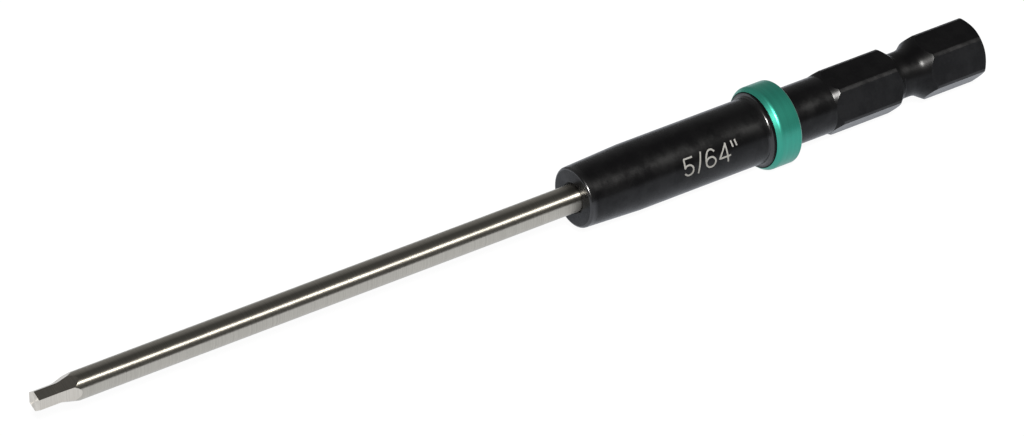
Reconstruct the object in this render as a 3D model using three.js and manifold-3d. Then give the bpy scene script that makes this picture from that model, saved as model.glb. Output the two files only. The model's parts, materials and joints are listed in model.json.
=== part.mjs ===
// Power-drive hex driver bit: a ground tool-steel rod with a small hex tip, set in a turned steel body
// that ends in a 1/4 in hex shank, with a coloured size ring pressed on the body.
// Millimetres, +Z up. The tool axis is X: the tip points to -X, and the origin is the centre of the
// shank's end face.

import * as THREE from "three";
import { mergeVertices } from "three/addons/utils/BufferGeometryUtils.js";
import Module from "manifold-3d";

// Rod and hex tip
const ROD_DIAMETER = 3;
const ROD_REACH = 66.15; // bright length in front of the body
const ROD_SEAT = 20; // length held in the socket
const TIP_ACROSS_FLATS = 1.984; // 5/64 in
const TIP_FLAT_LENGTH = 2.35; // full-depth part of each flat
const TIP_WHEEL_RADIUS = 3; // grinding wheel's corner, where a flat starts to rise
const TIP_RAMP_DEGREES = 14; // the flat's run-out after that corner
const TIP_CORNER_DEGREES = -2.5; // first corner, from straight up towards -Y
const TIP_END_CHAMFER = 0.06;

// Socket in the body
const SOCKET_CLEARANCE = 0.05; // radial, bonded
const SOCKET_END_GAP = 0.3; // rod end to the bottom of the full bore
const SOCKET_POINT_DEGREES = 118; // drill point
const SOCKET_MOUTH_CHAMFER = 0.2;

// Body, from its front face to the end of the shank
const FRONT_DIAMETER = 6.65;
const FRONT_EDGE_RADIUS = 0.3;
const TAPER_LENGTH = 7.1;
const BARREL_DIAMETER = 7.25;
const BARREL_LENGTH = 16.3;
const LAND_STEP = 0.475; // seat of the size ring above the barrel, radial
const LAND_FILLET_RADIUS = 0.35; // a short wall rises from it to the land
const LAND_LEAD = 0.08; // land that shows in front of the ring
const NECK_DIAMETER = 6.32;
const NECK_LENGTH = 5.75;
const CONE_LENGTH = 0.75;
const SHANK_LENGTH = 19.25;
const SHANK_ACROSS_FLATS = 6.35; // 1/4 in
const SHANK_CORNER_DIAMETER = 7.1; // turned size, which blunts the six corners
const SHANK_FLAT_DEGREES = 13.5; // first flat's normal, from straight up towards -Y
const SHANK_END_CHAMFER = 0.3; // along the axis
const SHANK_END_DIAMETER = 6.3; // round end face inside the chamfer

// Ball-detent groove of the shank
const GROOVE_DIAMETER = 5.05;
const GROOVE_FROM_END = 9.3; // middle of the floor to the end face
const GROOVE_FLOOR_LENGTH = 2.05; // between the feet of the two walls
const GROOVE_FRONT_RADIUS = 0.4; // between the floor and the front wall
const GROOVE_REAR_RADIUS = 2.4; // between the floor and the rear wall
const GROOVE_FRONT_DEGREES = 38.5; // wall towards the tip
const GROOVE_REAR_DEGREES = 32.5; // wall towards the end

// Size ring
const RING_WALL = 0.425; // radial
const RING_WIDTH = 3.05;
const RING_CLEARANCE = 0.05; // radial, on its land
const RING_BEVEL_LENGTH = 0.47; // front bevel, along the axis
const RING_BEVEL_DEPTH = 0.375; // front bevel, radial
const RING_REAR_EDGE = 0.14;
const RING_BORE_CHAMFER = 0.04;

// Facets
const ROUND_SEGMENTS = 72;
const ARC_STEPS = 5;

const HEX_SIDES = 6;
const CUT_MARGIN = 1; // how far a cutter reaches past the stock

const LAND_DIAMETER = BARREL_DIAMETER + 2 * LAND_STEP;
const RING_FRONT = TAPER_LENGTH + BARREL_LENGTH;
const NECK_FRONT = RING_FRONT + RING_WIDTH;
const CONE_FRONT = NECK_FRONT + NECK_LENGTH;
const SHANK_FRONT = CONE_FRONT + CONE_LENGTH;
const BODY_LENGTH = SHANK_FRONT + SHANK_LENGTH;

const STEEL = new THREE.MeshStandardMaterial({ color: 0xb9b6ae, roughness: 0.25, metalness: 1 });
const BLACK_OXIDE = new THREE.MeshStandardMaterial({ color: 0x202124, roughness: 0.35, metalness: 0.6 });
const GREEN_ANODISED = new THREE.MeshStandardMaterial({ color: 0x2f8f78, roughness: 0.4, metalness: 0.9 });

const wasm = await Module();
wasm.setup();

// A closed geometry as a solid for joining and cutting.
function toSolid(geometry) {
  const bare = geometry.clone();
  bare.deleteAttribute("normal");
  bare.deleteAttribute("uv");
  const merged = mergeVertices(bare);
  return new wasm.Manifold(
    new wasm.Mesh({
      numProp: 3,
      vertProperties: merged.attributes.position.array,
      triVerts: new Uint32Array(merged.index.array),
    }),
  );
}

function toGeometry(solid) {
  const mesh = solid.getMesh();
  const geometry = new THREE.BufferGeometry();
  geometry.setAttribute("position", new THREE.BufferAttribute(mesh.vertProperties, 3));
  geometry.setIndex(new THREE.BufferAttribute(mesh.triVerts, 1));
  geometry.computeVertexNormals();
  return geometry;
}

const radians = THREE.MathUtils.degToRad;

// A profile of (radius, distance along the axis) turned round the Y axis.
function turned(points) {
  return toSolid(new THREE.LatheGeometry(points, ROUND_SEGMENTS));
}

const at = (radius, along) => new THREE.Vector2(radius, along);

// Points of an arc about a centre, from one angle to another, in the plane (radius, distance along).
function arc(centre, radius, from, to) {
  return Array.from({ length: ARC_STEPS + 1 }, (_, i) => {
    const angle = THREE.MathUtils.lerp(from, to, i / ARC_STEPS);
    return at(centre.x + radius * Math.cos(angle), centre.y + radius * Math.sin(angle));
  });
}

// Everything outside one tip flat: full depth from the end, then the wheel's corner, then the run-out ramp.
function tipFlatCutter() {
  const flat = TIP_ACROSS_FLATS / 2;
  const outside = ROD_DIAMETER / 2 + CUT_MARGIN;
  const ramp = radians(TIP_RAMP_DEGREES);
  const cornerCentre = at(flat + TIP_WHEEL_RADIUS, TIP_FLAT_LENGTH);
  const corner = arc(cornerCentre, TIP_WHEEL_RADIUS, Math.PI, Math.PI - ramp);
  const rampStart = corner[corner.length - 1];
  const rampEnd = at(outside, rampStart.y + (outside - rampStart.x) / Math.tan(ramp));
  const outline = new THREE.Shape([at(outside, -CUT_MARGIN), at(flat, -CUT_MARGIN), ...corner, rampEnd]);
  const width = ROD_DIAMETER + 2 * CUT_MARGIN;
  const cutter = new THREE.ExtrudeGeometry(outline, { depth: width, bevelEnabled: false });
  return cutter.translate(0, 0, -width / 2);
}

// The rod, from its tip end at 0, with six flats ground on the tip.
function driverShaft() {
  const radius = ROD_DIAMETER / 2;
  const length = ROD_REACH + ROD_SEAT;
  const tipCorner = TIP_ACROSS_FLATS / 2 / Math.cos(Math.PI / HEX_SIDES);
  let rod = turned([
    at(0, 0),
    at(tipCorner - TIP_END_CHAMFER, 0),
    at(tipCorner, TIP_END_CHAMFER),
    at(radius, TIP_END_CHAMFER + radius - tipCorner),
    at(radius, length),
    at(0, length),
  ]);
  const cutter = tipFlatCutter();
  for (let i = 0; i < HEX_SIDES; i++) {
    const normal = radians(TIP_CORNER_DEGREES) + ((i + 0.5) * 2 * Math.PI) / HEX_SIDES;
    rod = rod.subtract(toSolid(cutter.clone().rotateY(normal - Math.PI / 2)));
  }
  return toGeometry(rod);
}

// The blind socket's wall, from the drill point on the axis out to the front face.
function socketProfile() {
  const bore = ROD_DIAMETER / 2 + SOCKET_CLEARANCE;
  const depth = ROD_SEAT + SOCKET_END_GAP;
  const point = bore / Math.tan(radians(SOCKET_POINT_DEGREES / 2));
  return [at(0, depth + point), at(bore, depth), at(bore, SOCKET_MOUTH_CHAMFER), at(bore + SOCKET_MOUTH_CHAMFER, 0)];
}

// Rounded front edge, taper, barrel, and the quarter fillet and short wall that rise to the ring's land.
function barrelProfile() {
  const front = FRONT_DIAMETER / 2;
  const barrel = BARREL_DIAMETER / 2;
  const land = LAND_DIAMETER / 2;
  const edge = at(front - FRONT_EDGE_RADIUS, FRONT_EDGE_RADIUS);
  const landFront = RING_FRONT - LAND_LEAD;
  const fillet = at(barrel + LAND_FILLET_RADIUS, landFront - LAND_FILLET_RADIUS);
  return [
    ...arc(edge, FRONT_EDGE_RADIUS, -Math.PI / 2, 0),
    at(barrel, TAPER_LENGTH),
    ...arc(fillet, LAND_FILLET_RADIUS, Math.PI, Math.PI / 2),
    at(land, landFront),
    at(land, NECK_FRONT),
  ];
}

// The groove's two straight walls and its floor, with an arc at the foot of each wall.
function grooveProfile() {
  const front = radians(GROOVE_FRONT_DEGREES);
  const rear = radians(GROOVE_REAR_DEGREES);
  const rim = SHANK_CORNER_DIAMETER / 2;
  const floor = GROOVE_DIAMETER / 2;
  const middle = BODY_LENGTH - GROOVE_FROM_END;
  const frontFoot = middle - GROOVE_FLOOR_LENGTH / 2;
  const rearFoot = middle + GROOVE_FLOOR_LENGTH / 2;
  const frontCorner = at(floor + GROOVE_FRONT_RADIUS, frontFoot + GROOVE_FRONT_RADIUS * Math.tan(front / 2));
  const rearCorner = at(floor + GROOVE_REAR_RADIUS, rearFoot - GROOVE_REAR_RADIUS * Math.tan(rear / 2));
  return [
    at(rim, frontFoot - (rim - floor) / Math.tan(front)),
    ...arc(frontCorner, GROOVE_FRONT_RADIUS, Math.PI + front, Math.PI),
    ...arc(rearCorner, GROOVE_REAR_RADIUS, Math.PI, Math.PI - rear),
    at(rim, rearFoot + (rim - floor) / Math.tan(rear)),
  ];
}

// The body, from its front face at 0: turned whole, then milled to a hex along the shank.
function driveBody() {
  const neck = NECK_DIAMETER / 2;
  const rim = SHANK_CORNER_DIAMETER / 2;
  const blank = turned([
    ...socketProfile(),
    ...barrelProfile(),
    at(neck, NECK_FRONT),
    at(neck, CONE_FRONT),
    at(rim, SHANK_FRONT),
    ...grooveProfile(),
    at(rim, BODY_LENGTH - SHANK_END_CHAMFER),
    at(SHANK_END_DIAMETER / 2, BODY_LENGTH),
    at(0, BODY_LENGTH),
  ]);
  const hexLength = BODY_LENGTH - CONE_FRONT + 2 * CUT_MARGIN;
  const hexCorner = SHANK_ACROSS_FLATS / 2 / Math.cos(Math.PI / HEX_SIDES);
  const firstCorner = radians(SHANK_FLAT_DEGREES) - Math.PI / HEX_SIDES;
  const hex = new THREE.CylinderGeometry(hexCorner, hexCorner, hexLength, HEX_SIDES, 1, false, firstCorner);
  hex.translate(0, CONE_FRONT - CUT_MARGIN + hexLength / 2, 0);
  const roundLength = CONE_FRONT + CUT_MARGIN;
  const round = new THREE.CylinderGeometry(LAND_DIAMETER, LAND_DIAMETER, roundLength, ROUND_SEGMENTS);
  round.translate(0, CONE_FRONT - roundLength / 2, 0);
  return toGeometry(blank.intersect(toSolid(hex).add(toSolid(round))));
}

// The ring, from its front face at 0, bored to slip on the land.
function sizeRing() {
  const bore = LAND_DIAMETER / 2 + RING_CLEARANCE;
  const outer = bore + RING_WALL;
  const rearEdge = at(outer - RING_REAR_EDGE, RING_WIDTH - RING_REAR_EDGE);
  const profile = [
    at(bore, RING_BORE_CHAMFER),
    at(bore + RING_BORE_CHAMFER, 0),
    at(outer - RING_BEVEL_DEPTH, 0),
    at(outer, RING_BEVEL_LENGTH),
    ...arc(rearEdge, RING_REAR_EDGE, 0, Math.PI / 2),
    at(bore + RING_BORE_CHAMFER, RING_WIDTH),
    at(bore, RING_WIDTH - RING_BORE_CHAMFER),
  ];
  return toGeometry(turned([...profile, profile[0]]));
}

function piece(name, geometry, material, along) {
  const mesh = new THREE.Mesh(geometry, material);
  mesh.name = name;
  mesh.position.y = along;
  return mesh;
}

// The pieces are turned about Y, and the whole driver is laid down so that Y becomes X.
const driver = new THREE.Group();
const laid = new THREE.Group();
laid.rotation.z = -Math.PI / 2;
laid.add(piece("driver_shaft", driverShaft(), STEEL, -BODY_LENGTH - ROD_REACH));
laid.add(piece("drive_body", driveBody(), BLACK_OXIDE, -BODY_LENGTH));
laid.add(piece("size_ring", sizeRing(), GREEN_ANODISED, RING_FRONT - BODY_LENGTH));
driver.add(laid);

export default driver;
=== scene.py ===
"""Dressed model of the power-drive hex bit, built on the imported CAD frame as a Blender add-on.

The bit lies along X with its tip to -X and the centre of its shank's end face at the origin. Angles
round it run from straight up towards -Y. Every length is in metres.
"""

import json
from math import acos, atan2, cos, pi, radians, sin, tan

import bpy
import numpy as np
from mathutils import Matrix, Vector

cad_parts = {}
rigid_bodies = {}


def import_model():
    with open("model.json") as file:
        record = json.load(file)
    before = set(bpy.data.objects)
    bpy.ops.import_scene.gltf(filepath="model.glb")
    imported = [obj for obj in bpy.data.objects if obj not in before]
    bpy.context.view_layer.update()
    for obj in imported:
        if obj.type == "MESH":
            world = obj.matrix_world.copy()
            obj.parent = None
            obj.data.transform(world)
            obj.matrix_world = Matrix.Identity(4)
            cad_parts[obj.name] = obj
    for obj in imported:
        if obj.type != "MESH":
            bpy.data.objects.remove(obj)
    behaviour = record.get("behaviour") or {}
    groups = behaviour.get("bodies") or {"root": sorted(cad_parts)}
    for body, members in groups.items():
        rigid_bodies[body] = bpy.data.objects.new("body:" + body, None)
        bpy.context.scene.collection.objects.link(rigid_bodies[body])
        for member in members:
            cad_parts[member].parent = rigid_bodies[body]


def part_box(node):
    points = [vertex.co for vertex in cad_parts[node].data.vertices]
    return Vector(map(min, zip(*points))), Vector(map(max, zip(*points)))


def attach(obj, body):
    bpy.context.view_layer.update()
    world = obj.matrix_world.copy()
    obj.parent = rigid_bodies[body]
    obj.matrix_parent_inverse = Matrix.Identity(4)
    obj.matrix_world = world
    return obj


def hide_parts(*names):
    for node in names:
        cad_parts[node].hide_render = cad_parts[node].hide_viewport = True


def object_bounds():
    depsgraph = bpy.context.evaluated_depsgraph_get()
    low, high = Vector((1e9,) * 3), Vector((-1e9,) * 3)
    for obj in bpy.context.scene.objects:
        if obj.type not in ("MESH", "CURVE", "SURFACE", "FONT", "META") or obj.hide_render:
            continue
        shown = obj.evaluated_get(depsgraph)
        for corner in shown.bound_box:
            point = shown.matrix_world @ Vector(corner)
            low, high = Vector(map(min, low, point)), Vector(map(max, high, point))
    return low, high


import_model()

bl_info = {
    "name": "Power-drive hex bit",
    "version": (1, 0, 0),
    "blender": (4, 5, 0),
    "location": "View3D > Sidebar > Hex bit",
    "description": "Ground rod with a hex tip, black body with a hex shank, colour ring and size mark",
    "category": "Mesh",
}

MM = 0.001
HEX_SIDES = 6
CAD_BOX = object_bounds()
SHAFT_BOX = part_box("driver_shaft")
BODY_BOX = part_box("drive_body")
RING_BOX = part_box("size_ring")

# Steps of the outlines and strokes, and columns round each piece, fine enough to look round close up.
ARC_STEPS = 12
WALL_STEPS = 6
LINE_STEPS = 8
BOW_STEPS = 32
TIP_COLUMNS_PER_FLAT = 24
BODY_COLUMNS_PER_FLAT = 24
BODY_COLUMNS_PER_CORNER = 4
RING_COLUMNS = 180
# Edges that turn by more than this stay sharp.
SMOOTH_LIMIT = radians(12)
# Places closer than this are the same.
TOLERANCE = 1e-6 * MM

# Angle off a flat's middle where wear starts on the shank's corners, and the angle over which it grows.
WEAR_START = radians(26)
WEAR_GROWTH = radians(4)
# Share of pale colour painted on the ring's rear edge: a painted highlight where the edge catches the
# light.
RING_EDGE_GLINT = 0.7
# Depth of the fine lines that grinding and turning leave.
TOOL_LINE_DEPTH = 0.004 * MM
# Steel deeper than this below the rod's surface, the tip's flats and end, was ground last and is painted
# lighter: partly fresh grinding, partly a painted reflection.
TIP_GRIND_DEPTH = 0.002 * MM

# Levels of light, where 1 is white: the floor to the camera and in polished pieces, and the dim studio
# with its lighter far side.
FLOOR_SEEN = 0.96
FLOOR_MIRRORED = 0.62
STUDIO_NEAR = 0.065
STUDIO_FAR = 0.25
# The camera's sensor width in millimetres, and the nearest and furthest that it draws.
SENSOR_WIDTH = 36.0
CLIP_START = 0.01
CLIP_END = 50.0


def linear(code):
    """Linear RGBA of an sRGB hex colour."""
    levels = np.array([int(code[i : i + 2], 16) for i in (1, 3, 5)]) / 255
    low = levels / 12.92
    high = ((levels + 0.055) / 1.055) ** 2.4
    return (*np.where(levels <= 0.04045, low, high).tolist(), 1.0)


class HexBitShaftSizes(bpy.types.PropertyGroup):
    """Sizes of the ground rod and its hex tip."""

    rod_diameter: bpy.props.FloatProperty(
        name="Rod diameter",
        description="Diameter of the ground rod",
        default=3.0 * MM,
        unit="LENGTH",
        precision=5,
    )
    seat_length: bpy.props.FloatProperty(
        name="Seat length",
        description="Length of rod held in the body's socket",
        default=20.0 * MM,
        unit="LENGTH",
        precision=5,
    )
    tip_across_flats: bpy.props.FloatProperty(
        name="Tip across flats",
        description="Hex size that fits the screw, 5/64 in",
        default=1.984 * MM,
        unit="LENGTH",
        precision=6,
    )
    tip_flat_length: bpy.props.FloatProperty(
        name="Tip flat length",
        description="Full-depth part of each flat, from the tip's end",
        default=2.35 * MM,
        unit="LENGTH",
        precision=5,
    )
    tip_wheel_radius: bpy.props.FloatProperty(
        name="Wheel radius",
        description="Corner of the grinding wheel, where a flat starts to rise",
        default=3.0 * MM,
        unit="LENGTH",
        precision=5,
    )
    tip_ramp: bpy.props.FloatProperty(
        name="Flat run-out",
        description="Slope at which a flat runs out of the rod",
        default=radians(14),
        subtype="ANGLE",
    )
    tip_corner: bpy.props.FloatProperty(
        name="First corner",
        description="Place of the tip's first corner, from straight up",
        default=radians(-2.5),
        subtype="ANGLE",
    )
    tip_edge_break: bpy.props.FloatProperty(
        name="End edge break",
        description="Small break of the edge round the tip's end",
        default=0.06 * MM,
        unit="LENGTH",
        precision=6,
    )


class HexBitBodySizes(bpy.types.PropertyGroup):
    """Sizes of the turned body and its hex shank."""

    front_diameter: bpy.props.FloatProperty(
        name="Front diameter",
        description="Diameter at the start of the taper",
        default=6.65 * MM,
        unit="LENGTH",
        precision=5,
    )
    front_edge_radius: bpy.props.FloatProperty(
        name="Front edge radius",
        description="Rounding of the front edge",
        default=0.3 * MM,
        unit="LENGTH",
        precision=5,
    )
    taper_length: bpy.props.FloatProperty(
        name="Taper length",
        description="Front face to the plain barrel",
        default=7.1 * MM,
        unit="LENGTH",
        precision=5,
    )
    barrel_diameter: bpy.props.FloatProperty(
        name="Barrel diameter",
        description="Diameter of the plain barrel",
        default=7.25 * MM,
        unit="LENGTH",
        precision=5,
    )
    land_step: bpy.props.FloatProperty(
        name="Land step",
        description="Height of the ring's seat above the barrel",
        default=0.475 * MM,
        unit="LENGTH",
        precision=5,
    )
    land_fillet_radius: bpy.props.FloatProperty(
        name="Land fillet",
        description="Hollow radius between the barrel and the wall of the land",
        default=0.35 * MM,
        unit="LENGTH",
        precision=5,
    )
    land_lead: bpy.props.FloatProperty(
        name="Land lead",
        description="Land that shows in front of the ring",
        default=0.08 * MM,
        unit="LENGTH",
        precision=5,
    )
    neck_diameter: bpy.props.FloatProperty(
        name="Neck diameter",
        description="Plain neck behind the ring",
        default=6.32 * MM,
        unit="LENGTH",
        precision=5,
    )
    neck_length: bpy.props.FloatProperty(
        name="Neck length",
        description="Ring to the start of the shank's cone",
        default=5.75 * MM,
        unit="LENGTH",
        precision=5,
    )
    cone_length: bpy.props.FloatProperty(
        name="Cone length",
        description="Cone from the neck to the shank's corners",
        default=0.75 * MM,
        unit="LENGTH",
        precision=5,
    )
    shank_across_flats: bpy.props.FloatProperty(
        name="Shank across flats",
        description="Power hex, 1/4 in",
        default=6.35 * MM,
        unit="LENGTH",
        precision=5,
    )
    shank_corner_diameter: bpy.props.FloatProperty(
        name="Shank corner diameter",
        description="Turned size that blunts the six corners",
        default=7.1 * MM,
        unit="LENGTH",
        precision=5,
    )
    shank_flat: bpy.props.FloatProperty(
        name="First flat",
        description="Way the shank's first flat faces, from straight up",
        default=radians(13.5),
        subtype="ANGLE",
    )
    shank_end_chamfer: bpy.props.FloatProperty(
        name="Shank end chamfer",
        description="Length along the axis of the chamfer at the end face",
        default=0.3 * MM,
        unit="LENGTH",
        precision=5,
    )
    shank_end_diameter: bpy.props.FloatProperty(
        name="Shank end diameter",
        description="Round end face inside the chamfer",
        default=6.3 * MM,
        unit="LENGTH",
        precision=5,
    )
    groove_diameter: bpy.props.FloatProperty(
        name="Groove diameter",
        description="Floor of the ball-detent groove",
        default=5.05 * MM,
        unit="LENGTH",
        precision=5,
    )
    groove_from_end: bpy.props.FloatProperty(
        name="Groove from end",
        description="Middle of the groove's floor to the end face",
        default=9.3 * MM,
        unit="LENGTH",
        precision=5,
    )
    groove_floor_length: bpy.props.FloatProperty(
        name="Groove floor length",
        description="Floor between the feet of the groove's walls",
        default=2.05 * MM,
        unit="LENGTH",
        precision=5,
    )
    groove_front_radius: bpy.props.FloatProperty(
        name="Groove front radius",
        description="Rounding between the groove's floor and its front wall",
        default=0.4 * MM,
        unit="LENGTH",
        precision=5,
    )
    groove_rear_radius: bpy.props.FloatProperty(
        name="Groove rear radius",
        description="Rounding between the groove's floor and its rear wall",
        default=2.4 * MM,
        unit="LENGTH",
        precision=5,
    )
    groove_front: bpy.props.FloatProperty(
        name="Groove front wall",
        description="Slope of the wall towards the tip",
        default=radians(38.5),
        subtype="ANGLE",
    )
    groove_rear: bpy.props.FloatProperty(
        name="Groove rear wall",
        description="Slope of the wall towards the end",
        default=radians(32.5),
        subtype="ANGLE",
    )
    socket_clearance: bpy.props.FloatProperty(
        name="Socket clearance",
        description="Radial room round the rod",
        default=0.05 * MM,
        unit="LENGTH",
        precision=6,
    )
    socket_end_gap: bpy.props.FloatProperty(
        name="Socket end gap",
        description="Rod's end to the bottom of the full bore",
        default=0.3 * MM,
        unit="LENGTH",
        precision=5,
    )
    socket_point: bpy.props.FloatProperty(
        name="Drill point",
        description="Point angle of the drill that made the socket",
        default=radians(118),
        subtype="ANGLE",
    )
    socket_mouth: bpy.props.FloatProperty(
        name="Socket mouth",
        description="Chamfer at the socket's mouth",
        default=0.2 * MM,
        unit="LENGTH",
        precision=5,
    )


class HexBitRingSizes(bpy.types.PropertyGroup):
    """Sizes of the colour ring. Its width and outer size come from the frame."""

    bore_diameter: bpy.props.FloatProperty(
        name="Bore diameter",
        description="Bore that slips on the body's land",
        default=8.3 * MM,
        unit="LENGTH",
        precision=5,
    )
    bevel_length: bpy.props.FloatProperty(
        name="Bevel length",
        description="Front bevel, along the axis",
        default=0.47 * MM,
        unit="LENGTH",
        precision=5,
    )
    bevel_depth: bpy.props.FloatProperty(
        name="Bevel depth",
        description="Front bevel, towards the axis",
        default=0.375 * MM,
        unit="LENGTH",
        precision=5,
    )
    bevel_rounding: bpy.props.FloatProperty(
        name="Bevel rounding",
        description="Radius that blends the bevel into the outside",
        default=0.6 * MM,
        unit="LENGTH",
        precision=5,
    )
    rear_edge: bpy.props.FloatProperty(
        name="Rear edge radius",
        description="Rounding of the edge towards the shank",
        default=0.14 * MM,
        unit="LENGTH",
        precision=5,
    )
    bore_chamfer: bpy.props.FloatProperty(
        name="Bore chamfer",
        description="Chamfer at both mouths of the bore",
        default=0.04 * MM,
        unit="LENGTH",
        precision=5,
    )


class HexBitMarkSizes(bpy.types.PropertyGroup):
    """Place and stroke of the size mark on the barrel."""

    along: bpy.props.FloatProperty(
        name="Along",
        description="Middle of the mark, along X",
        default=-37.3 * MM,
        unit="LENGTH",
        precision=5,
    )
    around: bpy.props.FloatProperty(
        name="Around",
        description="Middle of the mark, round the barrel from straight up",
        default=radians(72.5),
        subtype="ANGLE",
    )
    stroke: bpy.props.FloatProperty(
        name="Stroke width",
        description="Width of each etched line",
        default=0.19 * MM,
        unit="LENGTH",
        precision=5,
    )
    relief: bpy.props.FloatProperty(
        name="Relief",
        description="Height of the mark above the barrel",
        default=0.008 * MM,
        unit="LENGTH",
        precision=6,
    )


class HexBitColours(bpy.types.PropertyGroup):
    """Colours of the four finishes and the floor."""

    steel: bpy.props.FloatVectorProperty(
        name="Tool steel",
        description="Ground bright rod",
        default=linear("#d1ccc0"),
        size=4,
        min=0,
        max=1,
        subtype="COLOR",
    )
    # Painted reflection: lighter steel for the tip's flats and end, partly fresh grinding, partly painted
    # in for their bright reflection.
    ground_flat_and_reflection: bpy.props.FloatVectorProperty(
        name="Ground flats",
        description="Lighter steel of the tip, which is ground last",
        default=linear("#f0e9dc"),
        size=4,
        min=0,
        max=1,
        subtype="COLOR",
    )
    oxide: bpy.props.FloatVectorProperty(
        name="Black oxide",
        description="Oxide skin of the body",
        default=linear("#0a0a0b"),
        size=4,
        min=0,
        max=1,
        subtype="COLOR",
    )
    bare_steel: bpy.props.FloatVectorProperty(
        name="Worn edge",
        description="Steel that shows where the oxide is thin",
        default=linear("#242425"),
        size=4,
        min=0,
        max=1,
        subtype="COLOR",
    )
    anodised: bpy.props.FloatVectorProperty(
        name="Green anodised",
        description="Dyed oxide of the ring",
        default=linear("#40ad97"),
        size=4,
        min=0,
        max=1,
        subtype="COLOR",
    )
    etched: bpy.props.FloatVectorProperty(
        name="Etched mark",
        description="Steel bared by the size mark",
        default=linear("#aaa9a5"),
        size=4,
        min=0,
        max=1,
        subtype="COLOR",
    )
    floor: bpy.props.FloatVectorProperty(
        name="Floor",
        description="Plain pale floor",
        default=linear("#ffffff"),
        size=4,
        min=0,
        max=1,
        subtype="COLOR",
    )


class HexBitStage(bpy.types.PropertyGroup):
    """Light, floor and camera of the plain studio."""

    azimuth: bpy.props.FloatProperty(
        name="Camera azimuth",
        description="Turn of the view about Z; at zero it looks along +Y",
        default=radians(-35.925),
        subtype="ANGLE",
    )
    elevation: bpy.props.FloatProperty(
        name="Camera elevation",
        description="Height of the view above the floor's plane",
        default=radians(31.402),
        subtype="ANGLE",
    )
    distance: bpy.props.FloatProperty(
        name="Camera distance",
        description="Camera to the point it looks at",
        default=798.22 * MM,
        unit="LENGTH",
    )
    target: bpy.props.FloatVectorProperty(
        name="Camera target",
        description="Point that the camera looks at",
        default=(-59.957 * MM, 0.0, 0.367 * MM),
        size=3,
        subtype="TRANSLATION",
        precision=5,
    )
    lens: bpy.props.FloatProperty(
        name="Lens",
        description="Focal length in millimetres on a 36 mm sensor",
        default=273.16,
    )
    key_strength: bpy.props.FloatProperty(
        name="Key light",
        description="Strength of the key light",
        default=4.6,
    )
    key_angle: bpy.props.FloatProperty(
        name="Key size",
        description="How wide the key light looks from the bit",
        default=radians(13),
        subtype="ANGLE",
    )
    key_from: bpy.props.FloatVectorProperty(
        name="Key direction",
        description="Way from the bit to the key light",
        default=(-0.354, -0.629, 0.693),
        size=3,
        subtype="DIRECTION",
    )
    key_colour: bpy.props.FloatVectorProperty(
        name="Key colour",
        description="Slightly warm lamp",
        default=linear("#fffdfa")[:3],
        size=3,
        min=0,
        max=1,
        subtype="COLOR",
    )
    floor_half: bpy.props.FloatProperty(
        name="Floor half size",
        description="Half the side of the floor",
        default=1.5,
        unit="LENGTH",
    )
    floor_near: bpy.props.FloatProperty(
        name="Floor in front",
        description="Floor from the bit's axis to its near edge",
        default=160 * MM,
        unit="LENGTH",
    )


def turned_points(x, r, angle):
    """Points at x along the X axis and r from it: (x, -r sin a, r cos a), with a from straight up."""
    x, r, angle = np.broadcast_arrays(x, r, angle)
    return np.stack([x, -r * np.sin(angle), r * np.cos(angle)], axis=-1)


def arc(centre_x, centre_r, radius, start, end):
    """Profile arc as columns: x = cx + radius sin t, r = cr + radius cos t, with t from start to end."""
    t = np.linspace(start, end, ARC_STEPS + 1)[:, None]
    return centre_x + radius * np.sin(t), centre_r + radius * np.cos(t)


def stacked(columns, bands):
    """Two grids, x and r, of all the bands of profile rows in order, each row spread over the columns."""
    spread = [np.broadcast_arrays(x, r, np.empty((1, columns)))[:2] for x, r in bands]
    return np.vstack([x for x, _ in spread]), np.vstack([r for _, r in spread])


def row(x, r):
    """One profile row, whose x and r are numbers or one value for each column."""
    return np.atleast_2d(x), np.atleast_2d(r)


def between(x0, r0, x1, r1, steps):
    """Rows of a straight wall, from (x0, r0) to (x1, r1), without its first row."""
    t = np.linspace(0, 1, steps + 1)[1:, None]
    return x0 + t * (x1 - x0), r0 + t * (r1 - r0)


def off_flat(angle, first_flat):
    """Angle from the middle of the nearest of six flats."""
    return np.mod(angle - first_flat + pi / 6, pi / 3) - pi / 6


def closed_grid(name, grid, ring=False):
    """Mesh of a grid of points whose columns close round the axis.

    Rows run along the profile, from front to rear on the outside. Quad (i, j) joins rows i, i + 1 and
    columns j, j + 1, so it faces outwards. A ring's last row joins its first. Any other grid's first and
    last row are poles, kept as one point each and closed by fans.
    """
    rows, columns = grid.shape[:2]
    after = np.roll(np.arange(columns), -1)
    if ring:
        index = np.arange(rows * columns).reshape(rows, columns)
        here, there = index, np.roll(index, -1, axis=0)
        points = grid.reshape(-1, 3)
        fans = []
    else:
        index = 1 + np.arange((rows - 2) * columns).reshape(rows - 2, columns)
        here, there = index[:-1], index[1:]
        points = np.vstack([grid[0, :1], grid[1:-1].reshape(-1, 3), grid[-1, :1]])
        first, last = index[0], index[-1]
        front = np.stack([np.zeros_like(first), first[after], first], axis=1)
        rear = np.stack([last, last[after], np.full_like(last, len(points) - 1)], axis=1)
        fans = np.vstack([front, rear]).tolist()
    quads = np.stack([here, here[:, after], there[:, after], there], axis=-1).reshape(-1, 4)
    mesh = bpy.data.meshes.new(name)
    mesh.from_pydata(points.tolist(), [], quads.tolist() + fans)
    mesh.update()
    mesh.shade_smooth()
    mesh.set_sharp_from_angle(angle=SMOOTH_LIMIT)
    return mesh


def point_values(mesh, name, values, ring=False):
    """Keeps one number for each grid point on the mesh, with a pole row as its first value."""
    flat = values.ravel()
    if not ring:
        flat = np.concatenate([values[0, :1], values[1:-1].ravel(), values[-1, :1]])
    mesh.attributes.new(name, "FLOAT", "POINT").data.foreach_set("value", flat.astype(np.float32))


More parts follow.
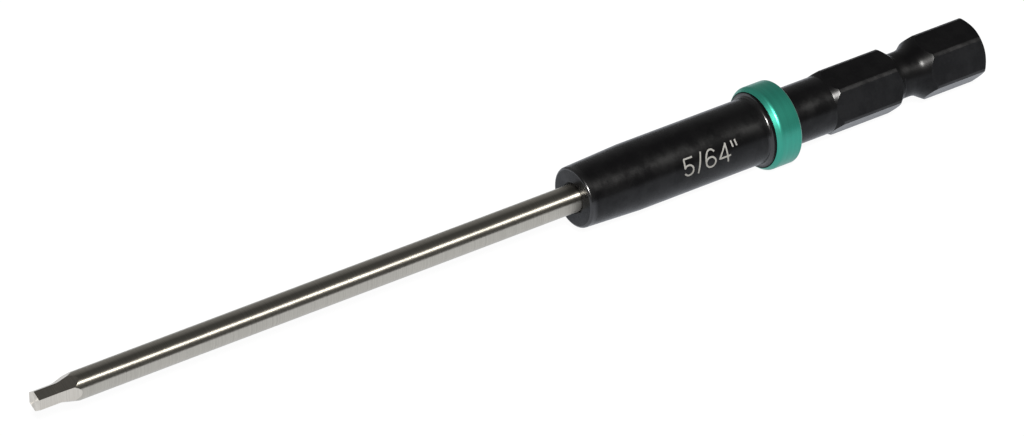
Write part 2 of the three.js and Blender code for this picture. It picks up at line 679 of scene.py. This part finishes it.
def place_piece(mesh, material, node):
    """Makes an object of a finished mesh, which rides on the bit and stands for its CAD node, if any."""
    piece = bpy.data.objects.new(mesh.name, mesh)
    bpy.context.scene.collection.objects.link(piece)
    mesh.materials.append(material)
    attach(piece, "root")
    if node:
        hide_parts(node)


def add_node(tree, kind, inputs=None, **settings):
    """Adds a node, sets its settings, and links each input given as a socket or sets its value."""
    made = tree.nodes.new(kind)
    for name, value in settings.items():
        setattr(made, name, value)
    for name, value in (inputs or {}).items():
        if isinstance(value, bpy.types.NodeSocket):
            tree.links.new(value, made.inputs[name])
        else:
            made.inputs[name].default_value = value
    return made


def new_material(name):
    """Empty material and its node tree."""
    material = bpy.data.materials.new(name)
    material.use_nodes = True
    material.node_tree.nodes.clear()
    return material, material.node_tree


def shaft_grid(sizes):
    """Grid of the rod. Its radius is the least of the rod's and the flats': r = min(R, h(x) / cos d).

    d is the angle off a flat's middle. h is half the size across flats, then follows the wheel's corner
    h = a + W - sqrt(W^2 - u^2), then the ramp, until it meets the rod at
    x = x2 + (R cos d - h2) / tan(ramp).
    """
    columns = HEX_SIDES * TIP_COLUMNS_PER_FLAT
    angle = sizes.tip_corner + np.arange(columns) * 2 * pi / columns
    d = off_flat(angle, sizes.tip_corner + pi / 6)
    tip = SHAFT_BOX[0].x
    end = BODY_BOX[0].x + sizes.seat_length
    radius = sizes.rod_diameter / 2
    apothem = sizes.tip_across_flats / 2
    wheel = sizes.tip_wheel_radius
    ramp = sizes.tip_ramp
    edge = sizes.tip_edge_break
    corner_x, corner_h = arc(tip + sizes.tip_flat_length, apothem + wheel, wheel, pi, pi - ramp)
    ramp_x, ramp_h = corner_x[-1], corner_h[-1]
    meet = ramp_x + (radius * np.cos(d) - ramp_h) / tan(ramp)
    bands = [
        row(tip, 0),
        row(tip, (apothem - edge) / np.cos(d)),
        row(tip + edge, apothem / np.cos(d)),
        (corner_x, corner_h / np.cos(d)),
        between(ramp_x, ramp_h / np.cos(d), meet, np.full(columns, radius), ARC_STEPS),
        between(meet, radius, np.full(columns, end), radius, ARC_STEPS),
        row(end, 0),
    ]
    return turned_points(*stacked(columns, bands), angle)


def body_columns(sizes):
    """Angles round the body, with columns on both edges of each flat and closer ones on each corner."""
    half = acos(sizes.shank_across_flats / sizes.shank_corner_diameter)
    flat = np.linspace(-half, half, BODY_COLUMNS_PER_FLAT, endpoint=False)
    corner = np.linspace(half, pi / 3 - half, BODY_COLUMNS_PER_CORNER, endpoint=False)
    sides = np.arange(HEX_SIDES)[:, None] * pi / 3
    return sizes.shank_flat + (sides + np.concatenate([flat, corner])).ravel()


def body_grid(sizes, rod):
    """Grids of the body's points, of the wear on its corners and of its burnish.

    The turned profile runs from the drill point out of the socket, over the front edge, taper, barrel,
    fillet, land, neck, cone and groove to the end face. Along the shank its radius is the least of the
    profile's and the hexagon's, H = min(a / cos d, corner radius), so the cone, the groove's walls and
    the end chamfer meet the flats in curves. Wear grows from 0 to 1 towards the shank's corners. Burnish
    is 1 on the front edge and the fillet, 0 on the cone and in the groove, and 0.5 elsewhere.
    """
    angle = body_columns(sizes)
    columns = len(angle)
    d = off_flat(angle, sizes.shank_flat)
    rim = sizes.shank_corner_diameter / 2
    hexagon = np.minimum(sizes.shank_across_flats / 2 / np.cos(d), rim)
    start = BODY_BOX[0].x
    end = BODY_BOX[1].x

    bore = rod.rod_diameter / 2 + sizes.socket_clearance
    bottom = start + rod.seat_length + sizes.socket_end_gap
    point = bottom + bore / tan(sizes.socket_point / 2)
    mouth = sizes.socket_mouth

    front = sizes.front_diameter / 2
    edge = sizes.front_edge_radius
    barrel = sizes.barrel_diameter / 2
    land = barrel + sizes.land_step
    fillet = sizes.land_fillet_radius
    land_front = RING_BOX[0].x - sizes.land_lead
    neck = sizes.neck_diameter / 2
    neck_front = RING_BOX[1].x
    cone_front = neck_front + sizes.neck_length
    cone_meet = cone_front + (hexagon - neck) / (rim - neck) * sizes.cone_length

    floor = sizes.groove_diameter / 2
    front_round = sizes.groove_front_radius
    rear_round = sizes.groove_rear_radius
    middle = end - sizes.groove_from_end
    front_foot = middle - sizes.groove_floor_length / 2
    rear_foot = middle + sizes.groove_floor_length / 2
    front_turn = front_foot + front_round * tan(sizes.groove_front / 2)
    rear_turn = rear_foot - rear_round * tan(sizes.groove_rear / 2)
    front_x, front_r = arc(front_turn, floor + front_round, front_round, pi + sizes.groove_front, pi)
    rear_x, rear_r = arc(rear_turn, floor + rear_round, rear_round, pi, pi - sizes.groove_rear)
    front_meet = front_foot - (hexagon - floor) / tan(sizes.groove_front)
    rear_meet = rear_foot + (hexagon - floor) / tan(sizes.groove_rear)
    face = sizes.shank_end_diameter / 2
    end_meet = end - (hexagon - face) / (rim - face) * sizes.shank_end_chamfer

    bands = [
        row(point, 0),
        row(bottom, bore),
        row(start + mouth, bore),
        row(start, bore + mouth),
        arc(start + edge, front - edge, edge, -pi / 2, 0),
        between(start + edge, front, start + sizes.taper_length, barrel, ARC_STEPS),
        row(land_front - 2 * fillet, barrel),
        arc(land_front - fillet, barrel + fillet, fillet, pi, pi / 2),
        row(land_front, land),
        row(neck_front, land),
        row(neck_front, neck),
        row(cone_front, neck),
        between(cone_front, neck, cone_meet, hexagon, WALL_STEPS),
        row(front_meet, hexagon),
        between(front_meet, hexagon, front_x[0], front_r[0], WALL_STEPS),
        (front_x[1:], front_r[1:]),
        (rear_x, rear_r),
        between(rear_x[-1], rear_r[-1], rear_meet, hexagon, WALL_STEPS),
        row(end_meet, hexagon),
        row(end, face),
        row(end, 0),
    ]
    x, r = stacked(columns, bands)
    corner = np.clip((np.abs(d) - WEAR_START) / WEAR_GROWTH, 0, 1)
    shank = (x > cone_meet - TOLERANCE) & (r > hexagon - TOLERANCE)
    wear_and_glint = np.where(shank, corner, 0.0)
    front_edge = (x > start + TOLERANCE) & (x < start + edge + TOLERANCE) & (r > front - edge)
    before_land = (x > land_front - fillet - TOLERANCE) & (x < land_front + TOLERANCE)
    radii = front_edge | (before_land & (r < land - TOLERANCE))
    cone = (x > cone_front + TOLERANCE) & (x < cone_meet - TOLERANCE)
    groove = (x > front_meet + TOLERANCE) & (x < rear_meet - TOLERANCE)
    burnish = np.where(radii, 1.0, np.where(cone | groove, 0.0, 0.5))
    return turned_points(x, r, angle), wear_and_glint, burnish


def ring_grid(sizes):
    """Grids of the ring's points and of a painted highlight on its rear edge: its profile is a closed
    loop turned round the X axis.
    """
    angle = np.arange(RING_COLUMNS) * 2 * pi / RING_COLUMNS
    front = RING_BOX[0].x
    rear = RING_BOX[1].x
    outer = RING_BOX[1].z
    bore = sizes.bore_diameter / 2
    chamfer = sizes.bore_chamfer
    slope = atan2(sizes.bevel_depth, sizes.bevel_length)
    rounding = sizes.bevel_rounding
    blend = front + sizes.bevel_length + rounding * tan(slope / 2)
    bands = [
        row(front + chamfer, bore),
        row(front, bore + chamfer),
        row(front, outer - sizes.bevel_depth),
        arc(blend, outer - rounding, rounding, -slope, 0),
        arc(rear - sizes.rear_edge, outer - sizes.rear_edge, sizes.rear_edge, 0, pi / 2),
        row(rear, bore + chamfer),
        row(rear - chamfer, bore),
    ]
    x, r = stacked(RING_COLUMNS, bands)
    # Painted highlight: the rounding of the rear edge is marked, to be painted pale.
    near_rear = (x < rear - TOLERANCE) & (x > rear - sizes.rear_edge + TOLERANCE)
    wear_and_glint = np.where(near_rear & (r > bore + chamfer), 1.0, 0.0)
    return turned_points(x, r, angle), wear_and_glint


def line(*points):
    """A straight stroke or one with sharp turns, sampled between its points in millimetres."""
    corners = np.array(points, float)
    t = np.linspace(0, len(corners) - 1, LINE_STEPS * (len(corners) - 1) + 1)
    places = np.arange(len(corners))
    return np.stack([np.interp(t, places, corners[:, 0]), np.interp(t, places, corners[:, 1])], axis=1)


def bow(centre, radii, start, end):
    """A round stroke: part of an ellipse in millimetres, between two angles in degrees."""
    t = np.radians(np.linspace(start, end, BOW_STEPS + 1))
    return np.stack([centre[0] + radii[0] * np.cos(t), centre[1] + radii[1] * np.sin(t)], axis=1)


def mark_strokes():
    """Strokes of the size mark, 5/64 with two inch ticks: u along X and v up, from the mark's middle."""
    return [
        line((-1.96, 0.89), (-2.94, 0.9), (-3.0, 0.0)),
        bow((-2.53, -0.4), (0.58, 0.55), 140, -145),
        line((-0.74, 1.0), (-1.35, -1.04)),
        bow((0.43, -0.3), (0.705, 1.24), 52, 180),
        bow((0.325, -0.4), (0.6, 0.54), 0, 360),
        line((2.43, 0.95), (1.43, -0.44), (2.81, -0.42)),
        line((2.43, 0.95), (2.52, -0.96)),
        line((3.22, 0.98), (3.3, 0.42)),
        line((3.72, 0.95), (3.79, 0.44)),
    ]


def stroke_ribbon(path, sizes, barrel):
    """A stroke as a thin closed bar on the barrel.

    Its section is a flat rectangle carried along the path: u runs along X and v round the barrel, so a
    point is at x = along + u and angle = around - v / barrel. The bar's foot lies in the barrel and its
    face stands out by the relief.
    """
    step = np.gradient(path, axis=0)
    step /= np.linalg.norm(step, axis=1, keepdims=True)
    side = np.stack([-step[:, 1], step[:, 0]], axis=1) * sizes.stroke / 2
    path = path * MM
    path[0] -= step[0] * sizes.stroke / 2
    path[-1] += step[-1] * sizes.stroke / 2
    left, right = path + side, path - side
    flat = np.stack([left, left, right, right], axis=1)
    height = np.array([-1, 1, 1, -1]) * sizes.relief + barrel
    points = turned_points(sizes.along + flat[..., 0], height, sizes.around - flat[..., 1] / barrel)
    count = len(path)
    index = np.arange(4 * count).reshape(count, 4)
    after = np.roll(np.arange(4), -1)
    quads = np.stack([index[:-1], index[1:], index[1:, after], index[:-1, after]], axis=-1).reshape(-1, 4)
    ends = np.stack([index[0], index[-1][::-1]])
    return points.reshape(-1, 3), np.vstack([quads, ends])


def ground_steel(colours, rod_radius):
    """Hardened tool steel, centreless ground: bright, with fine lines that draw lights out along it."""
    material, tree = new_material("ground_tool_steel")
    place = add_node(tree, "ShaderNodeTexCoord").outputs["Object"]
    # Grinding lines are about 0.01 mm apart; they are drawn 0.12 mm apart, so that they show.
    lines_at = add_node(tree, "ShaderNodeMapping", {"Vector": place, "Scale": (8300, 90, 90)})
    lines = add_node(
        tree,
        "ShaderNodeTexNoise",
        {"Vector": lines_at.outputs["Vector"], "Scale": 1.0, "Detail": 3.0, "Roughness": 0.6},
    )
    # Slow patches of the grind, about 3 mm long.
    patches = add_node(tree, "ShaderNodeTexNoise", {"Vector": place, "Scale": 330.0, "Detail": 2.0})
    tone = add_node(
        tree,
        "ShaderNodeMapRange",
        {
            "Value": lines.outputs["Fac"],
            "From Min": 0.25,
            "From Max": 0.75,
            "To Min": 0.82,
            "To Max": 1.12,
        },
    )
    off_axis = add_node(
        tree,
        "ShaderNodeVectorMath",
        {0: place, 1: (0.0, 1.0, 1.0)},
        operation="MULTIPLY",
    )
    radius = add_node(
        tree,
        "ShaderNodeVectorMath",
        {0: off_axis.outputs["Vector"]},
        operation="LENGTH",
    )
    # Painted reflection: the tip's flats and end take the lighter steel, which partly stands for their
    # bright reflection.
    ground_and_reflecting = add_node(
        tree,
        "ShaderNodeMath",
        {0: radius.outputs["Value"], 1: rod_radius - TIP_GRIND_DEPTH},
        operation="LESS_THAN",
    )
    finish = add_node(
        tree,
        "ShaderNodeMix",
        {
            "Factor": ground_and_reflecting.outputs["Value"],
            "A": tuple(colours.steel),
            "B": tuple(colours.ground_flat_and_reflection),
        },
        data_type="RGBA",
    )
    shade = add_node(
        tree,
        "ShaderNodeMix",
        {"Factor": 1.0, "A": finish.outputs["Result"], "B": tone.outputs["Result"]},
        data_type="RGBA",
        blend_type="MULTIPLY",
    )
    gloss = add_node(
        tree,
        "ShaderNodeMapRange",
        {
            "Value": patches.outputs["Fac"],
            "From Min": 0.3,
            "From Max": 0.7,
            "To Min": 0.28,
            "To Max": 0.32,
        },
    )
    bump = add_node(
        tree,
        "ShaderNodeBump",
        {"Height": lines.outputs["Fac"], "Strength": 0.15, "Distance": TOOL_LINE_DEPTH},
    )
    across = add_node(tree, "ShaderNodeTangent", direction_type="RADIAL", axis="X")
    shader = add_node(
        tree,
        "ShaderNodeBsdfPrincipled",
        {
            "Base Color": shade.outputs["Result"],
            "Metallic": 1.0,
            "Roughness": gloss.outputs["Result"],
            "Anisotropic": 0.95,
            "Anisotropic Rotation": 0.25,
            "Normal": bump.outputs["Normal"],
            "Tangent": across.outputs["Tangent"],
        },
    )
    add_node(tree, "ShaderNodeOutputMaterial", {"Surface": shader.outputs["BSDF"]})
    return material


def black_oxide(colours):
    """Black oxide on turned steel: a thin satin skin with faint turning lines, greyer on worn corners."""
    material, tree = new_material("black_oxide_steel")
    place = add_node(tree, "ShaderNodeTexCoord").outputs["Object"]
    # Turning lines are about 0.05 mm apart; they are drawn 0.15 mm apart, so that they show.
    lines_at = add_node(tree, "ShaderNodeMapping", {"Vector": place, "Scale": (6600, 120, 120)})
    lines = add_node(
        tree,
        "ShaderNodeTexNoise",
        {"Vector": lines_at.outputs["Vector"], "Scale": 1.0, "Detail": 3.0, "Roughness": 0.65},
    )
    # Uneven blacking from the salt bath, in patches about 2 mm wide.
    patches = add_node(
        tree,
        "ShaderNodeTexNoise",
        {"Vector": place, "Scale": 500.0, "Detail": 4.0, "Roughness": 0.6},
    )
    tint = add_node(
        tree,
        "ShaderNodeMix",
        {"Factor": patches.outputs["Fac"], "A": linear("#08080a"), "B": linear("#0d0c0c")},
        data_type="RGBA",
    )
    skin = add_node(
        tree,
        "ShaderNodeMix",
        {"Factor": 0.5, "A": tuple(colours.oxide), "B": tint.outputs["Result"]},
        data_type="RGBA",
    )
    edge = add_node(tree, "ShaderNodeAttribute", attribute_name="wear_and_glint")
    rubbed = add_node(
        tree,
        "ShaderNodeMath",
        {0: edge.outputs["Fac"], 1: patches.outputs["Fac"]},
        operation="MULTIPLY",
    )
    shade = add_node(
        tree,
        "ShaderNodeMix",
        {"Factor": rubbed.outputs["Value"], "A": skin.outputs["Result"], "B": tuple(colours.bare_steel)},
        data_type="RGBA",
    )
    gloss = add_node(
        tree,
        "ShaderNodeMapRange",
        {"Value": lines.outputs["Fac"], "From Min": 0.3, "From Max": 0.7, "To Min": 0.54, "To Max": 0.64},
    )
    sheen = add_node(
        tree,
        "ShaderNodeMapRange",
        {
            "Value": patches.outputs["Fac"],
            "From Min": 0.4,
            "From Max": 0.6,
            "To Min": 0.06,
            "To Max": 0.2,
        },
    )
    bump = add_node(
        tree,
        "ShaderNodeBump",
        {"Height": lines.outputs["Fac"], "Strength": 0.2, "Distance": TOOL_LINE_DEPTH},
    )
    # The oiled skin is thin on the cone and in the groove, and dense on the burnished radii, which glint.
    smooth = add_node(tree, "ShaderNodeAttribute", attribute_name="burnish")
    depth = add_node(
        tree,
        "ShaderNodeMapRange",
        {"Value": smooth.outputs["Fac"], "From Max": 0.5, "To Min": 0.6, "To Max": 1.0},
    )
    density = add_node(
        tree,
        "ShaderNodeMapRange",
        {"Value": smooth.outputs["Fac"], "From Min": 0.5, "To Min": 1.31, "To Max": 1.75},
    )
    across = add_node(tree, "ShaderNodeTangent", direction_type="RADIAL", axis="X")
    shader = add_node(
        tree,
        "ShaderNodeBsdfPrincipled",
        {
            "Base Color": shade.outputs["Result"],
            "Roughness": gloss.outputs["Result"],
            "Specular IOR Level": sheen.outputs["Result"],
            "Anisotropic": 0.85,
            "Anisotropic Rotation": 0.25,
            "Coat Weight": depth.outputs["Result"],
            "Coat Roughness": 0.25,
            "Coat IOR": density.outputs["Result"],
            "Normal": bump.outputs["Normal"],
            "Tangent": across.outputs["Tangent"],
        },
    )
    add_node(tree, "ShaderNodeOutputMaterial", {"Surface": shader.outputs["BSDF"]})
    return material


def green_anodised(colours):
    """Dyed anodised aluminium, turned: satin metal under a clear oxide, so lights on it stay white."""
    material, tree = new_material("green_anodised_aluminium")
    place = add_node(tree, "ShaderNodeTexCoord").outputs["Object"]
    # Turning lines are about 0.06 mm apart; they are drawn 0.15 mm apart, so that they show.
    lines_at = add_node(tree, "ShaderNodeMapping", {"Vector": place, "Scale": (6600, 140, 140)})
    lines = add_node(
        tree,
        "ShaderNodeTexNoise",
        {"Vector": lines_at.outputs["Vector"], "Scale": 1.0, "Detail": 2.0, "Roughness": 0.6},
    )
    edge = add_node(tree, "ShaderNodeAttribute", attribute_name="wear_and_glint")
    tone = add_node(
        tree,
        "ShaderNodeMapRange",
        {"Value": lines.outputs["Fac"], "From Min": 0.3, "From Max": 0.7, "To Min": 0.9, "To Max": 1.08},
    )
    dye = add_node(
        tree,
        "ShaderNodeMix",
        {"Factor": 1.0, "A": tuple(colours.anodised), "B": tone.outputs["Result"]},
        data_type="RGBA",
        blend_type="MULTIPLY",
    )
    # Painted highlight: the ring's marked rear edge is mixed towards a pale green, as where it catches
    # the light.
    thin = add_node(
        tree,
        "ShaderNodeMath",
        {0: edge.outputs["Fac"], 1: RING_EDGE_GLINT},
        operation="MULTIPLY",
    )
    shade = add_node(
        tree,
        "ShaderNodeMix",
        {"Factor": thin.outputs["Value"], "A": dye.outputs["Result"], "B": linear("#9fc7ba")},
        data_type="RGBA",
    )
    bump = add_node(
        tree,
        "ShaderNodeBump",
        {"Height": lines.outputs["Fac"], "Strength": 0.15, "Distance": TOOL_LINE_DEPTH},
    )
    shader = add_node(
        tree,
        "ShaderNodeBsdfPrincipled",
        {
            "Base Color": shade.outputs["Result"],
            "Metallic": 0.85,
            "Roughness": 0.42,
            "Coat Weight": 0.3,
            "Coat Roughness": 0.15,
            "Normal": bump.outputs["Normal"],
        },
    )
    add_node(tree, "ShaderNodeOutputMaterial", {"Surface": shader.outputs["BSDF"]})
    return material


def etched_steel(colours):
    """Laser-etched steel: the oxide is burnt off, which leaves a pale matt line of fine spots."""
    material, tree = new_material("etched_bare_steel")
    place = add_node(tree, "ShaderNodeTexCoord").outputs["Object"]
    # Laser spots are about 0.05 mm wide; they are drawn 0.1 mm wide, so that they show.
    spots = add_node(tree, "ShaderNodeTexNoise", {"Vector": place, "Scale": 10000.0, "Detail": 2.0})
    shade = add_node(
        tree,
        "ShaderNodeMix",
        {"Factor": spots.outputs["Fac"], "A": tuple(colours.etched), "B": linear("#888783")},
        data_type="RGBA",
    )
    shader = add_node(
        tree,
        "ShaderNodeBsdfPrincipled",
        {"Base Color": shade.outputs["Result"], "Roughness": 0.7},
    )
    add_node(tree, "ShaderNodeOutputMaterial", {"Surface": shader.outputs["BSDF"]})
    return material


def pale_floor(colours):
    """Matt white table: white to the camera, and a little dimmer and cooler in polished pieces.

    A small part of its white is light from the lamps, so that shadows stay.
    """
    material, tree = new_material("pale_matt_table")
    ray = add_node(tree, "ShaderNodeLightPath")
    mirrored = add_node(
        tree,
        "ShaderNodeMath",
        {0: ray.outputs["Is Glossy Ray"], 1: ray.outputs["Is Transmission Ray"]},
        operation="MAXIMUM",
    )
    glow = add_node(
        tree,
        "ShaderNodeMath",
        {0: mirrored.outputs["Value"], 1: FLOOR_MIRRORED},
        operation="MULTIPLY",
    )
    level = add_node(
        tree,
        "ShaderNodeMath",
        {0: ray.outputs["Is Camera Ray"], 1: FLOOR_SEEN, 2: glow.outputs["Value"]},
        operation="MULTIPLY_ADD",
    )
    cast = add_node(
        tree,
        "ShaderNodeMix",
        {"Factor": mirrored.outputs["Value"], "A": tuple(colours.floor), "B": linear("#f0f5ff")},
        data_type="RGBA",
    )
    own = add_node(
        tree,
        "ShaderNodeEmission",
        {"Color": cast.outputs["Result"], "Strength": level.outputs["Value"]},
    )
    paint = add_node(
        tree,
        "ShaderNodeMix",
        {"Factor": mirrored.outputs["Value"], "A": linear("#505050"), "B": linear("#696969")},
        data_type="RGBA",
    )
    lit = add_node(tree, "ShaderNodeBsdfDiffuse", {"Color": paint.outputs["Result"]})
    both = add_node(tree, "ShaderNodeAddShader", {0: own.outputs["Emission"], 1: lit.outputs["BSDF"]})
    add_node(tree, "ShaderNodeOutputMaterial", {"Surface": both.outputs["Shader"]})
    return material


def studio_world(scene):
    """Dim even studio that grows lighter towards its far side, and is white to the camera."""
    world = bpy.data.worlds.new("studio")
    world.use_nodes = True
    tree = world.node_tree
    tree.nodes.clear()
    way = add_node(tree, "ShaderNodeTexCoord").outputs["Generated"]
    parts = add_node(tree, "ShaderNodeSeparateXYZ", {"Vector": way})
    level = add_node(
        tree,
        "ShaderNodeMapRange",
        {
            "Value": parts.outputs["Y"],
            "From Min": 0.3,
            "From Max": 0.9,
            "To Min": STUDIO_NEAR,
            "To Max": STUDIO_FAR,
        },
    )
    ray = add_node(tree, "ShaderNodeLightPath")
    strength = add_node(
        tree,
        "ShaderNodeMix",
        {"Factor": ray.outputs["Is Camera Ray"], "A": level.outputs["Result"], "B": 1.0},
        data_type="FLOAT",
    )
    sky = add_node(
        tree,
        "ShaderNodeBackground",
        {"Color": linear("#ffffff"), "Strength": strength.outputs["Result"]},
    )
    add_node(tree, "ShaderNodeOutputWorld", {"Surface": sky.outputs["Background"]})
    scene.world = world


class HEXBIT_OT_shaft(bpy.types.Operator):
    """Make the ground rod with its hex tip."""

    bl_idname = "hexbit.shaft"
    bl_label = "Ground rod"

    def execute(self, context):
        scene = context.scene
        mesh = closed_grid("ground_rod", shaft_grid(scene.hexbit_shaft))
        material = ground_steel(scene.hexbit_colours, scene.hexbit_shaft.rod_diameter / 2)
        place_piece(mesh, material, "driver_shaft")
        return {"FINISHED"}


class HEXBIT_OT_body(bpy.types.Operator):
    """Make the black body with its socket, taper, land, neck, hex shank and detent groove."""

    bl_idname = "hexbit.body"
    bl_label = "Black body"

    def execute(self, context):
        scene = context.scene
        grid, wear_and_glint, burnish = body_grid(scene.hexbit_body, scene.hexbit_shaft)
        mesh = closed_grid("black_body", grid)
        point_values(mesh, "wear_and_glint", wear_and_glint)
        point_values(mesh, "burnish", burnish)
        place_piece(mesh, black_oxide(scene.hexbit_colours), "drive_body")
        return {"FINISHED"}


class HEXBIT_OT_ring(bpy.types.Operator):
    """Make the green anodised colour ring."""

    bl_idname = "hexbit.ring"
    bl_label = "Colour ring"

    def execute(self, context):
        scene = context.scene
        grid, wear_and_glint = ring_grid(scene.hexbit_ring)
        mesh = closed_grid("colour_ring", grid, ring=True)
        # The rear edge's painted highlight goes on the mesh as a point value.
        point_values(mesh, "wear_and_glint", wear_and_glint, ring=True)
        place_piece(mesh, green_anodised(scene.hexbit_colours), "size_ring")
        return {"FINISHED"}


class HEXBIT_OT_mark(bpy.types.Operator):
    """Make the etched size mark on the barrel."""

    bl_idname = "hexbit.mark"
    bl_label = "Size mark"

    def execute(self, context):
        scene = context.scene
        barrel = scene.hexbit_body.barrel_diameter / 2
        bars = [stroke_ribbon(path, scene.hexbit_mark, barrel) for path in mark_strokes()]
        counts = np.cumsum([0] + [len(points) for points, _ in bars])
        points = np.vstack([points for points, _ in bars])
        faces = np.vstack([quads + first for (_, quads), first in zip(bars, counts)])
        mesh = bpy.data.meshes.new("size_mark")
        mesh.from_pydata(points.tolist(), [], faces.tolist())
        mesh.update()
        place_piece(mesh, etched_steel(scene.hexbit_colours), None)
        return {"FINISHED"}


class HEXBIT_OT_stage(bpy.types.Operator):
    """Make the pale floor, the studio light and the camera."""

    bl_idname = "hexbit.stage"
    bl_label = "Studio"

    def execute(self, context):
        scene = context.scene
        stage = scene.hexbit_stage
        collection = scene.collection.objects
        scene.view_settings.view_transform = "Standard"

        half = stage.floor_half
        middle = CAD_BOX[0].lerp(CAD_BOX[1], 0.5)
        near = stage.floor_near
        corners = np.array([(-half, -near, 0), (half, -near, 0), (half, half, 0), (-half, half, 0)])
        mesh = bpy.data.meshes.new("floor")
        mesh.from_pydata((corners + (middle.x, middle.y, RING_BOX[0].z)).tolist(), [], [(0, 1, 2, 3)])
        mesh.materials.append(pale_floor(scene.hexbit_colours))
        floor = bpy.data.objects.new("floor", mesh)
        collection.link(floor)

        key = bpy.data.lights.new("key", "SUN")
        key.energy = stage.key_strength
        key.angle = stage.key_angle
        key.color = stage.key_colour
        lamp = bpy.data.objects.new("key", key)
        lamp.rotation_euler = Vector(stage.key_from).to_track_quat("Z", "Y").to_euler()
        collection.link(lamp)

        studio_world(scene)

        turn, rise = stage.azimuth, stage.elevation
        back = Vector((sin(turn) * cos(rise), -cos(turn) * cos(rise), sin(rise)))
        right = Vector((cos(turn), sin(turn), 0.0))
        up = back.cross(right)
        lens = bpy.data.cameras.new("camera")
        lens.lens = stage.lens
        lens.sensor_width = SENSOR_WIDTH
        lens.clip_start = CLIP_START
        lens.clip_end = CLIP_END
        camera = bpy.data.objects.new("camera", lens)
        turned = Matrix((right, up, back)).transposed().to_4x4()
        camera.matrix_world = Matrix.Translation(Vector(stage.target) + stage.distance * back) @ turned
        collection.link(camera)
        scene.camera = camera
        return {"FINISHED"}


class HEXBIT_PT_sidebar(bpy.types.Panel):
    """Lists the makers of the hex bit's pieces."""

    bl_idname = "HEXBIT_PT_sidebar"
    bl_label = "Hex bit"
    bl_space_type = "VIEW_3D"
    bl_region_type = "UI"
    bl_category = "Hex bit"

    def draw(self, context):
        for maker in OPERATORS:
            self.layout.operator(maker.bl_idname)


OPERATORS = (HEXBIT_OT_shaft, HEXBIT_OT_body, HEXBIT_OT_ring, HEXBIT_OT_mark, HEXBIT_OT_stage)
GROUPS = {
    "hexbit_shaft": HexBitShaftSizes,
    "hexbit_body": HexBitBodySizes,
    "hexbit_ring": HexBitRingSizes,
    "hexbit_mark": HexBitMarkSizes,
    "hexbit_colours": HexBitColours,
    "hexbit_stage": HexBitStage,
}


def register():
    """Adds the bit's settings, makers and panel to Blender."""
    for name, group in GROUPS.items():
        bpy.utils.register_class(group)
        setattr(bpy.types.Scene, name, bpy.props.PointerProperty(type=group))
    for kind in (*OPERATORS, HEXBIT_PT_sidebar):
        bpy.utils.register_class(kind)


def unregister():
    """Takes them out again, in the opposite order."""
    for kind in (HEXBIT_PT_sidebar, *reversed(OPERATORS)):
        bpy.utils.unregister_class(kind)
    for name, group in reversed(GROUPS.items()):
        delattr(bpy.types.Scene, name)
        bpy.utils.unregister_class(group)


def main():
    """Makes every piece and the studio."""
    register()
    bpy.ops.hexbit.shaft()
    bpy.ops.hexbit.body()
    bpy.ops.hexbit.ring()
    bpy.ops.hexbit.mark()
    bpy.ops.hexbit.stage()


if __name__ == "__main__":
    main()
